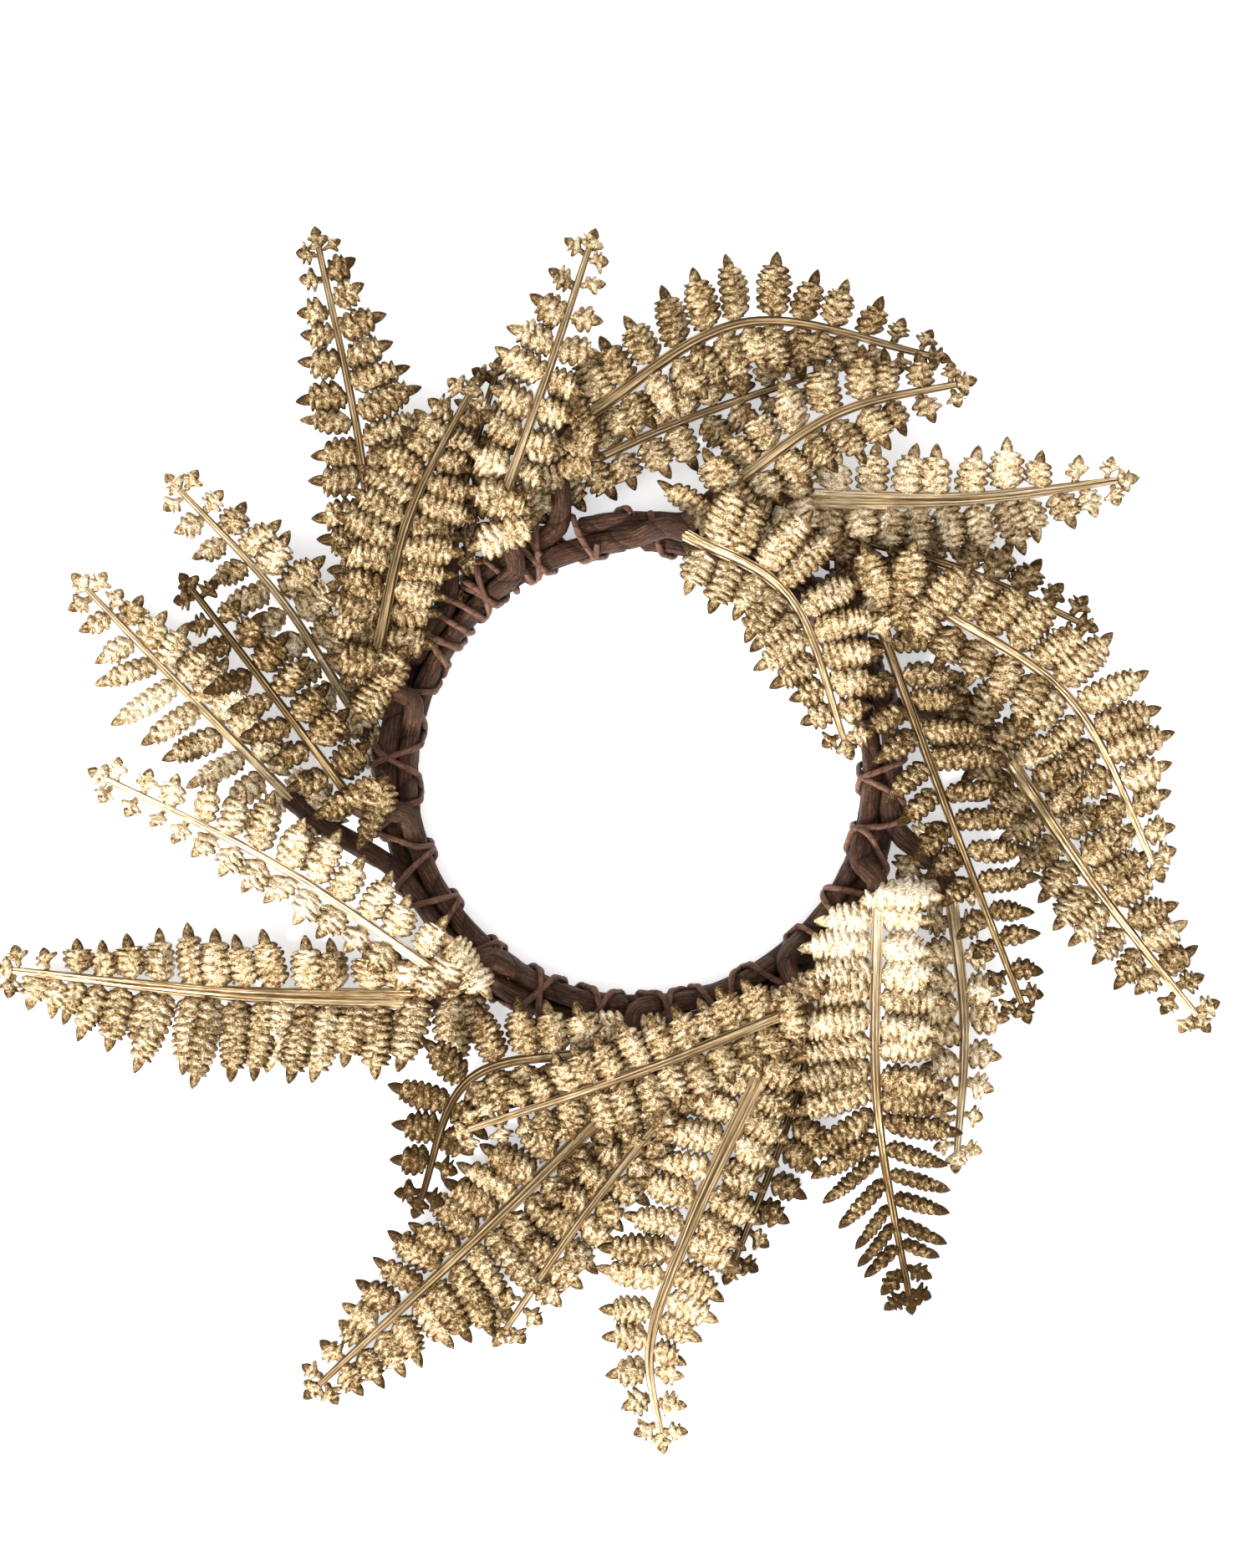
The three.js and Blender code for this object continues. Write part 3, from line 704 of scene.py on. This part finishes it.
def add_rachis(sheet, path, lit_paleness, width):
    """A flat strap with fine ribs along its top, round where the stem enters it."""
    end = path.length - BARE_TIP
    along = np.linspace(-BURIED_BASE, end, int(end / RACHIS_STEP) + 2)
    share = np.clip(along / path.length, 0, 1)
    tangent, side, normal = path.sides(along)
    centre = path.at(along)
    rib_count = 3 if width > BROAD_RACHIS else 1.5
    half = half_rachis(width, share)
    round_base = 1 - smooth(*ROUND_BASE, along)
    thick = 0.75 + 0.25 * (1 - share) + 0.9 * round_base
    angle = np.linspace(0, 2 * np.pi, 2 * HALF_SECTION, endpoint=False)
    cosine, sine = np.cos(angle), np.sin(angle)
    upper = np.clip(sine, 0, 1) ** 0.5
    across = np.sign(cosine) * np.abs(cosine) ** 0.8
    ribs = np.cos(2 * np.pi * rib_count * (across - 1)) * upper
    rise = np.where(sine > 0, upper * 1.15, -np.abs(sine) ** 0.8 * 0.8)
    rib_height = (RIB_HEIGHT * smooth(0.3, 1.6, half) * (1 - 0.6 * round_base))[:, None]
    out = half[:, None] * across
    above = thick[:, None] * rise + rib_height * ribs
    points = centre[:, None] + side[:, None] * out[..., None] + normal[:, None] * above[..., None]
    # Painted highlight on the ribs and painted shade on the strap's underside.
    relief = np.broadcast_to(0.64 + 0.3 * ribs * (sine > 0) - 0.5 * (sine < 0), out.shape)
    # The frond's painted light and shade, from its base to its tip.
    tone = np.repeat(np.interp(share, [0, 1], lit_paleness), len(angle))
    streaks = np.broadcast_arrays(out * STREAK_ACROSS, above, along[:, None] * STREAK_ALONG)
    grain = np.stack(streaks, -1).reshape(-1, 3)
    faces = grid_faces(len(along), len(angle), wrap=True)
    sheet.add(points, faces, relief=relief.ravel(), tone=tone, grain=grain)
    flat = np.ones(len(angle) + 1)
    for row, outward in ((0, -1), (-1, 1)):
        middle = centre[row] + outward * RACHIS_CAP * tangent[row]
        grain = np.vstack([points[row], middle])
        values = {"relief": CAP_RELIEF * flat, "tone": CAP_TONE * flat, "grain": grain}
        add_cap(sheet, points[row], middle, outward, **values)


def make_frond(number, frond, stem, material):
    """The piece that stands for a frond: its rachis, its pinnae and the star at its tip."""
    sheet = Sheet()
    path = rachis_path(frond)
    add_rachis(sheet, path, frond.lit_paleness, frond.rachis_width)
    add_pinnae(sheet, path, stem, number, frond)
    add_tip(sheet, path, frond.lit_paleness[1])
    piece = sheet.object(f"gold_frond_{number:02d}", material)
    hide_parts(f"frond_{number:02d}")
    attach(piece, "root")


# ---------------------------------------------------------------- wrapped strands
STRAND_SIDES = 20
STRAND_STEP = 1.3
PAPER_RADIUS = 1.13 * STRAND_RADIUS
BARE_SHARE = 0.93  # of the radius, without creases and laps
CREASES = (  # height, waves round the strand, and length of a turn along it
    (0.10, 2, 24.0),
    (0.09, 3, -19.0),
    (0.08, 5, 17.0),
)
WRAP_PITCH = 12.0
LAP_HEIGHT = 0.2
ROUNDED_END = 2.5
STRAND_CAP = 0.4
GRAIN_SHIFT = 37.0  # sets the paper of each strand at another place in its noise
STEM_OVERRUN = 2.6  # how far the paper goes on into the frond
HOOP_POINTS = 220


def wrapped_strand(name, path, end, material):
    """A strand with paper wound round it: creases along it, and a lap that runs round it."""
    count = max(int(end / STRAND_STEP), 4)
    along = np.linspace(0, end, count + 1)
    tangent, side, normal = path.sides(along)
    centre = path.at(along)
    angle = np.linspace(0, 2 * np.pi, STRAND_SIDES, endpoint=False)
    cosine, sine = np.cos(angle), np.sin(angle)
    *phases, swell_phase, ripple_phase, turn_phase = RANDOM.uniform(0, 2 * np.pi, 6)
    turn = angle + 0.35 * np.sin(along[:, None] / 7 + turn_phase)
    creases = sum(
        height * np.sin(waves * turn + along[:, None] / length + phase)
        for (height, waves, length), phase in zip(CREASES, phases)
    )
    swell = 0.07 * np.sin(along / 6.3 + swell_phase) + 0.03 * np.sin(along / 2.7 + ripple_phase)
    lap = LAP_HEIGHT * (1 - (turn / (2 * np.pi) + along[:, None] / WRAP_PITCH) % 1.0) ** 0.7
    reach = PAPER_RADIUS * (BARE_SHARE + creases * 0.55 + 0.5 * swell[:, None]) + lap
    at_start = np.minimum(1, 0.55 + along / ROUNDED_END)
    at_end = np.minimum(1, 0.55 + (end - along) / ROUNDED_END)
    reach = reach * (at_start * at_end)[:, None]
    out = side[:, None] * (reach * cosine)[..., None] + normal[:, None] * (reach * sine)[..., None]
    points = centre[:, None] + out
    place = (cosine * PAPER_RADIUS, sine * PAPER_RADIUS, along[:, None] + GRAIN_SHIFT * phases[0])
    wrap = np.stack(np.broadcast_arrays(*place), -1)
    sheet = Sheet()
    sheet.add(points, grid_faces(len(along), STRAND_SIDES, wrap=True), wrap=wrap.reshape(-1, 3))
    for row, outward in ((0, -1), (-1, 1)):
        middle = centre[row] + outward * STRAND_CAP * tangent[row]
        values = np.vstack([wrap[row], wrap[row].mean(0)])
        add_cap(sheet, points[row], middle, outward, wrap=values)
    return sheet.object(name, material)


def make_stem(number, frond, material):
    """The piece that stands for a stem. Returns the stem's centre line."""
    path = stem_path(frond)
    end = path.length + STEM_OVERRUN
    piece = wrapped_strand(f"wrapped_stem_{number:02d}", path, end, material)
    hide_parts(f"stem_{number:02d}")
    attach(piece, "root")
    return path


def hoop_path():
    """The hoop's centre line, from one of its ends round to the other."""
    return Path(lane_at("hoop", np.linspace(HOOP_END, 360 - HOOP_END, HOOP_POINTS)))


def dress_hoop_wire(material):
    """The hoop's wire keeps its CAD shape, with a new material."""
    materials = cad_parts["hoop_wire"].data.materials
    materials.clear()
    materials.append(material)


def make_hoop_wrap(material):
    """The piece that stands for the paper on the hoop."""
    path = hoop_path()
    piece = wrapped_strand("hoop_paper", path, path.length, material)
    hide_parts("hoop_wrap")
    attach(piece, "root")


# ---------------------------------------------------------------- binding
BINDING_WIRES = (  # lay, first and last bearing, turns, phase
    (1, 2.0, 358.0, 25, 0.4),
    (1, 299.0, 336.0, 7, 2.6),
    (-1, 60.0, 350.0, 18, 2.1),
)
TURN_SAMPLES = 40
TIGHTENING_STEPS = 40
STRAND_SAMPLE_STEP = 0.8
BINDING_SIDES = 10
BINDING_SWELL = 1.1  # the paper makes the wire thicker than the CAD's
BINDING_WRAP_PITCH = 3.0
SUNK_CORNER = 0.15  # how much closer it starts than the CAD's, before it is pulled tight
PRESSED_PAPER = 0.97  # what the binding leaves of a strand's radius


def bundle_outline(angle):
    """How far the binding's centre stands from the bundle's centre, in a direction round it."""
    half = STRAND_PITCH / 2
    corner = BINDING_CORNER - SUNK_CORNER
    cosine, sine = np.abs(np.cos(angle)), np.abs(np.sin(angle))
    flat = (half + corner) / np.maximum(cosine, sine)
    dot = half * (cosine + sine)
    bend = dot + np.sqrt(np.maximum(dot**2 - 2 * half**2 + corner**2, 0))
    on_corner = np.minimum(cosine, sine) * bend > half
    return np.where(on_corner, bend, flat)


def binding_points(lay, first, last, turns, phase):
    """The line of one binding wire: it winds round the bundle as it goes along the hoop."""
    count = int(turns * TURN_SAMPLES)
    share = np.linspace(0, 1, count + 1)
    wander = 0.25 * np.sin(share * turns * 2.1 + phase)
    wander = wander + 0.18 * np.sin(share * turns * 5.3 + 2 * phase)
    angle = lay * 2 * np.pi * (share * turns + 0.3 * wander) + phase
    bearing = first + (last - first) * share + 1.1 * wander
    reach = bundle_outline(angle)
    radius = BUNDLE_RADIUS + reach * np.cos(angle)
    height = BUNDLE_HEIGHT + reach * np.sin(angle)
    return polar(bearing, radius, height)


def pulled_tight(points, strands):
    """Draws the wire in, as a string under tension, until it lies on the strands."""
    clear = PAPER_RADIUS * PRESSED_PAPER + BINDING_RADIUS
    samples = [path.at(np.arange(0, path.length, STRAND_SAMPLE_STEP)) for path in strands]
    lines = np.vstack(samples)
    points = points.copy()
    for _ in range(TIGHTENING_STEPS):
        points[1:-1] = 0.5 * points[1:-1] + 0.25 * (points[:-2] + points[2:])
        for _ in range(2):
            away = points[:, None] - lines[None]
            gap = np.einsum("ijk,ijk->ij", away, away)
            nearest = gap.argmin(1)
            row = np.arange(len(points))
            distance = np.sqrt(gap[row, nearest])
            push = np.clip(clear - distance, 0, None) / np.maximum(distance, 1e-6)
            points += away[row, nearest] * push[:, None]
    points[:, 2] = np.maximum(points[:, 2], BINDING_RADIUS)
    return points


def round_wire(sheet, points, radius):
    """A slightly uneven round wire along points."""
    path = Path(points)
    along = path.along
    tangent = path.tangents
    guide = unit(np.cross(tangent, unit(polar(bearing_of(points), 1, 0))))
    side = unit(np.cross(guide, tangent))
    angle = np.linspace(0, 2 * np.pi, BINDING_SIDES, endpoint=False)
    cosine, sine = np.cos(angle), np.sin(angle)
    reach = radius * (1 + 0.08 * np.sin(along / 1.3) + 0.05 * np.sin(along / 0.57))
    ring = points[:, None] + reach[:, None, None] * (
        side[:, None] * cosine[None, :, None] + guide[:, None] * sine[None, :, None]
    )
    wrap = np.stack(np.broadcast_arrays(cosine * radius, sine * radius, along[:, None]), -1)
    sheet.add(ring, grid_faces(len(points), BINDING_SIDES, wrap=True), wrap=wrap.reshape(-1, 3))


def make_binding(stems, material):
    """The piece that stands for the binding wire: it winds over the hoop and the stems."""
    sheet = Sheet()
    for lay, first, last, turns, phase in BINDING_WIRES:
        points = binding_points(lay, first, last, turns, phase)
        points = pulled_tight(points, [hoop_path(), *stems])
        round_wire(sheet, points, BINDING_RADIUS * BINDING_SWELL)
    piece = sheet.object("binding_spiral", material)
    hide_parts("binding_wire")
    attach(piece, "root")


# ---------------------------------------------------------------- materials
class Nodes:
    """A short way to write a material's nodes."""

    def __init__(self, name):
        self.material = bpy.data.materials.new(name)
        self.material.use_nodes = True
        self.tree = self.material.node_tree
        self.shader = self.tree.nodes["Principled BSDF"]

    def add(self, kind, inputs=(), **settings):
        """A node with settings, and with values or links for its inputs."""
        node = self.tree.nodes.new(kind)
        for key, value in settings.items():
            setattr(node, key, value)
        for key, value in dict(inputs).items():
            self.feed(node.inputs[key], value)
        return node

    def feed(self, socket, value):
        """Links an output to a socket, or sets the socket's own value."""
        if isinstance(value, bpy.types.NodeSocket):
            self.tree.links.new(value, socket)
        else:
            socket.default_value = value

    def attribute(self, name, output="Fac"):
        return self.add("ShaderNodeAttribute", attribute_name=name).outputs[output]

    def noise(self, vector, scale, detail=4.0, roughness=0.55):
        inputs = {"Scale": scale, "Detail": detail, "Roughness": roughness, "Vector": vector}
        return self.add("ShaderNodeTexNoise", inputs).outputs["Fac"]

    def math(self, operation, first, second=0.0, clamp=False):
        inputs = {0: first, 1: second}
        return self.add("ShaderNodeMath", inputs, operation=operation, use_clamp=clamp).outputs[0]

    def ramp(self, factor, stops):
        """A colour ramp through (place, colour) stops."""
        node = self.add("ShaderNodeValToRGB", {"Fac": factor})
        elements = node.color_ramp.elements
        while len(elements) < len(stops):
            elements.new(0.5)
        for element, (place, colour) in zip(elements, stops):
            element.position = place
            element.color = (*colour, 1.0)
        return node.outputs["Color"]

    def between(self, factor, low, high):
        """A value from low to high as the factor goes from 0 to 1."""
        inputs = {"Value": factor, "To Min": low, "To Max": high}
        return self.add("ShaderNodeMapRange", inputs).outputs["Result"]

    def bump(self, height, strength, distance):
        inputs = {"Height": height, "Strength": strength, "Distance": distance}
        return self.add("ShaderNodeBump", inputs).outputs["Normal"]

    def set(self, **values):
        """Sets the shader's inputs, named with _ for a space, and returns the material."""
        for key, value in values.items():
            self.feed(self.shader.inputs[key.replace("_", " ")], value)
        return self.material


GOLD_PATINA_SHADE_HIGHLIGHT = [  # from patina and painted shade in the crevices to wear and painted highlights on the ridges
    (0.0, (0.045, 0.023, 0.007)),
    (0.28, (0.150, 0.088, 0.034)),
    (0.52, (0.380, 0.262, 0.130)),
    (0.76, (0.650, 0.505, 0.310)),
    (1.0, (0.960, 0.840, 0.630)),
]
BROWN_PAPER = [
    (0.30, (0.008, 0.0035, 0.0016)),
    (0.5, (0.044, 0.0190, 0.0098)),
    (0.70, (0.160, 0.0750, 0.0420)),
]
BINDING_PAPER = [
    (0.30, (0.040, 0.019, 0.012)),
    (0.5, (0.120, 0.058, 0.036)),
    (0.70, (0.240, 0.130, 0.085)),
]
STEEL = [(0.3, (0.20, 0.19, 0.18)), (0.7, (0.42, 0.41, 0.39))]
FLOOR_GREYS = [(0.0, (0.90, 0.90, 0.90)), (1.0, (0.94, 0.94, 0.94))]
PAINT_BUMP = 0.0008  # metres, as the two below
PAPER_BUMP = 0.0007
STEEL_BUMP = 0.0002


def gold_material():
    """Antique gold paint on moulded plastic, with patina and painted shade brown in the crevices
    and painted highlights bright on the ridges.
    """
    n = Nodes("antique_gold")
    place = n.attribute("grain", "Vector")
    relief = n.attribute("relief")
    lit_paleness = n.attribute("tone")
    patches = n.noise(place, 0.2, 4.0, 0.6)
    speckle = n.noise(place, 1.0, 3.0, 0.7)
    grain = n.noise(place, 2.6, 2.0, 0.6)
    # The relief values paint shade and highlight beside the patina, and the tone values add each
    # frond's painted light and shade.
    patina_shade_and_highlight = n.math("MULTIPLY", relief, 0.72)
    for texture, amount in ((patches, 0.8), (speckle, 1.7), (grain, 0.8), (lit_paleness, 0.36)):
        patina_shade_and_highlight = n.math("ADD", patina_shade_and_highlight, n.math("MULTIPLY", n.math("SUBTRACT", texture, 0.5), amount))
    patina_shade_and_highlight = n.math("ADD", patina_shade_and_highlight, 0.02, clamp=True)
    height = n.math("ADD", n.math("MULTIPLY", grain, 0.4), speckle)
    return n.set(
        Base_Color=n.ramp(patina_shade_and_highlight, GOLD_PATINA_SHADE_HIGHLIGHT),
        Metallic=0.9,
        Roughness=n.between(patina_shade_and_highlight, 0.6, 0.24),
        Normal=n.bump(height, 1.0, PAINT_BUMP),
    )


def paper_material(name, stops, lap_pitch, strength):
    """Waxed crepe paper wound on a wire: fibres, crinkles and the edge of each lap."""
    n = Nodes(name)
    wrap = n.attribute("wrap", "Vector")
    parts = n.add("ShaderNodeSeparateXYZ", {"Vector": wrap})
    turn = n.math("DIVIDE", n.math("ARCTAN2", parts.outputs["Y"], parts.outputs["X"]), 2 * math.pi)
    lap = n.math("FRACT", n.math("ADD", turn, n.math("DIVIDE", parts.outputs["Z"], lap_pitch)))
    stretched = n.add("ShaderNodeVectorMath", {0: wrap, 1: (1.0, 1.0, 0.08)}, operation="MULTIPLY")
    fibres = n.noise(stretched.outputs["Vector"], 2.4, 6.0, 0.65)
    crinkle = n.noise(wrap, 0.9, 4.0, 0.6)
    edge = n.math("POWER", lap, 9.0)
    shade = n.math("ADD", n.math("MULTIPLY", fibres, 0.75), n.math("MULTIPLY", crinkle, 0.25))
    shade = n.math("SUBTRACT", shade, n.math("MULTIPLY", edge, 0.12), clamp=True)
    height = n.math("ADD", n.math("MULTIPLY", fibres, 0.7), n.math("MULTIPLY", crinkle, 0.8))
    height = n.math("SUBTRACT", height, n.math("MULTIPLY", edge, 0.9))
    return n.set(
        Base_Color=n.ramp(shade, stops),
        Roughness=n.between(fibres, 0.62, 0.42),
        Specular_IOR_Level=0.14,
        Normal=n.bump(height, strength, PAPER_BUMP),
    )


def wire_material():
    """Drawn steel wire."""
    n = Nodes("drawn_wire")
    place = n.add("ShaderNodeTexCoord").outputs["Object"]
    drawn = n.noise(place, 900.0, 4.0)
    return n.set(
        Base_Color=n.ramp(drawn, STEEL),
        Metallic=1.0,
        Roughness=n.between(drawn, 0.3, 0.5),
        Normal=n.bump(drawn, 0.2, STEEL_BUMP),
    )


def floor_material():
    """Matt white board, a little lit from within so that it stays white."""
    n = Nodes("pale_floor")
    place = n.add("ShaderNodeTexCoord").outputs["Object"]
    return n.set(
        Base_Color=n.ramp(n.noise(place, 3.0, 2.0), FLOOR_GREYS),
        Roughness=0.85,
        Emission_Color=(1.0, 1.0, 1.0, 1.0),
        Emission_Strength=0.4,
    )


# ---------------------------------------------------------------- camera, floor and lights
IMAGE_HEIGHT = 375.0  # what the frame takes in at the object, top to bottom
VIEW_CENTRE = (-3.0, -2.5)
LENS = 100.0
SENSOR = 36.0
SUBJECT_HEIGHT = 12.0
CLIP_END = 20.0  # metres, as are all the lengths below
FLOOR_REACH = 3.0
FLOOR_FLAT = 1.3
FLOOR_RISE = 0.85
FLOOR_CELLS = 48
KEY = {"place": (-0.75, -1.0, 0.85), "size": 0.25, "power": 39.0}
FILL = {"place": (0.8, 0.7, 1.1), "size": 0.9, "power": 4.0}
LIT_FROM = (-0.42, -0.78, 0.46)  # the side that the studio is brighter on
STUDIO_STRENGTH = (0.3, 2.15)  # on its dark side and on its bright side


def make_camera():
    """Looks straight down, as in the photograph, with its frame's top towards +Y."""
    data = bpy.data.cameras.new("camera")
    data.lens = LENS
    data.sensor_width = SENSOR
    data.clip_end = CLIP_END
    camera = bpy.data.objects.new("camera", data)
    distance = IMAGE_HEIGHT * LENS / SENSOR + SUBJECT_HEIGHT
    camera.location = ((AXIS + np.array([*VIEW_CENTRE, distance])) * MM).tolist()
    bpy.context.scene.collection.objects.link(camera)
    bpy.context.scene.camera = camera


def make_floor(material):
    """A pale sheet that lies flat under the wreath and rises softly far from it, on every side."""
    line = np.linspace(-FLOOR_REACH, FLOOR_REACH, FLOOR_CELLS + 1)
    x, y = np.meshgrid(line, line, indexing="ij")
    z = FLOOR_RISE * smooth(FLOOR_FLAT, FLOOR_REACH, np.hypot(x, y))
    vertices = np.stack([x, y, z], -1).reshape(-1, 3)
    mesh = bpy.data.meshes.new("floor")
    mesh.from_pydata(vertices.tolist(), [], grid_faces(FLOOR_CELLS + 1, FLOOR_CELLS + 1).tolist())
    mesh.polygons.foreach_set("use_smooth", np.ones(len(mesh.polygons), bool))
    mesh.materials.append(material)
    floor = bpy.data.objects.new("floor", mesh)
    bpy.context.scene.collection.objects.link(floor)


def area_light(name, place, size, power):
    """A round lamp that faces the origin."""
    data = bpy.data.lights.new(name, "AREA")
    data.shape = "DISK"
    data.size = size
    data.energy = power
    light = bpy.data.objects.new(name, data)
    light.location = place
    direction = -np.array(place, float)
    yaw = math.atan2(direction[1], direction[0])
    pitch = math.acos(-direction[2] / np.linalg.norm(direction))
    light.rotation_euler = (pitch, 0.0, yaw - math.pi / 2)
    bpy.context.scene.collection.objects.link(light)


def make_studio():
    """White surroundings that are brighter on one side."""
    world = bpy.data.worlds.new("studio")
    world.use_nodes = True
    tree = world.node_tree
    background = tree.nodes["Background"]
    coordinates = tree.nodes.new("ShaderNodeTexCoord")
    toward = tree.nodes.new("ShaderNodeVectorMath")
    toward.operation = "DOT_PRODUCT"
    toward.inputs[1].default_value = LIT_FROM
    strength = tree.nodes.new("ShaderNodeMapRange")
    strength.interpolation_type = "SMOOTHSTEP"
    strength.inputs["From Min"].default_value = -0.5
    strength.inputs["From Max"].default_value = 1.0
    strength.inputs["To Min"].default_value = STUDIO_STRENGTH[0]
    strength.inputs["To Max"].default_value = STUDIO_STRENGTH[1]
    tree.links.new(coordinates.outputs["Generated"], toward.inputs[0])
    tree.links.new(toward.outputs["Value"], strength.inputs["Value"])
    tree.links.new(strength.outputs["Result"], background.inputs["Strength"])
    background.inputs["Color"].default_value = (1.0, 1.0, 1.0, 1.0)
    bpy.context.scene.world = world


def make_light():
    make_studio()
    area_light("key", **KEY)
    area_light("fill", **FILL)
    bpy.context.scene.view_settings.view_transform = "Standard"


# ---------------------------------------------------------------- build
make_camera()
make_light()
make_floor(floor_material())

gold = gold_material()
paper = paper_material("wrapped_paper", BROWN_PAPER, WRAP_PITCH, strength=0.8)
binding = paper_material("binding_paper", BINDING_PAPER, BINDING_WRAP_PITCH, strength=0.5)

stem_paths = [make_stem(number, frond, paper) for number, frond in enumerate(FRONDS, 1)]
make_hoop_wrap(paper)
make_binding(stem_paths, binding)
for number, (frond, stem) in enumerate(zip(FRONDS, stem_paths), 1):
    make_frond(number, frond, stem, gold)
dress_hoop_wire(wire_material())
